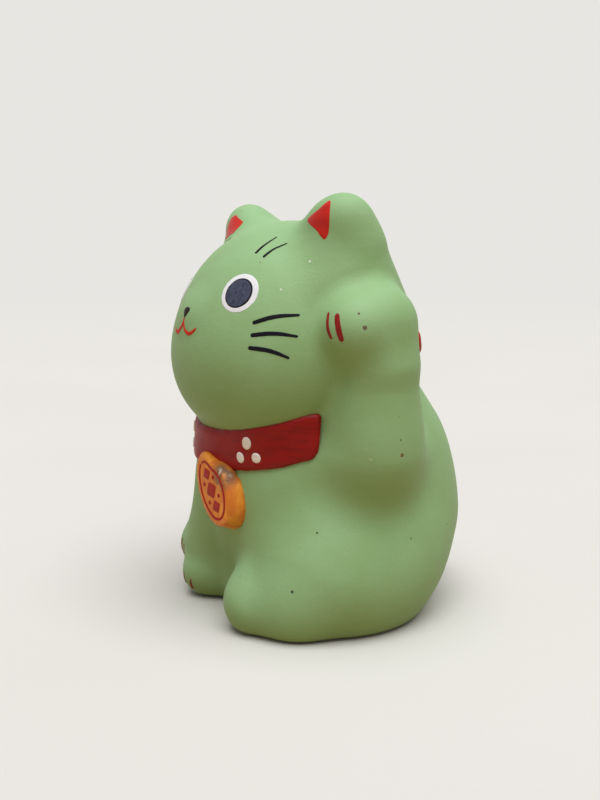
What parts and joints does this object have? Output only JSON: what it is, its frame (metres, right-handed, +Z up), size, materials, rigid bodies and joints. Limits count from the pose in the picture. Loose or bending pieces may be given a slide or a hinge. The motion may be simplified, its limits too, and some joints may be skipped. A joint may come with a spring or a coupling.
{
  "type": "ceramic cat figurine",
  "caption": "Seated beckoning-cat figurine of painted unglazed clay, hollow, with a raised paw, red collar, gold coin on the chest and a flat base.",
  "frame": {"origin": "middle of the underside, under the neck of the seated cat", "axes": "+Z up, the cat faces -Y, +X towards the cat's left side with the raised arm"},
  "size_m": [0.0524, 0.0538, 0.0704],
  "materials": {
    "green_clay": "matte paint on unglazed clay",
    "bare_clay": "bare fired clay",
    "red_paint": "matte red paint on clay",
    "gold_paint": "satin gold paint on clay"
  },
  "bodies": {
    "root": {"front_shell": "green_clay", "back_shell": "green_clay", "base_disc": "bare_clay", "raised_arm": "green_clay", "collar": "red_paint", "nape_bow": "red_paint", "coin": "gold_paint", "bob_tail": "green_clay"}
  },
  "joints": []
}
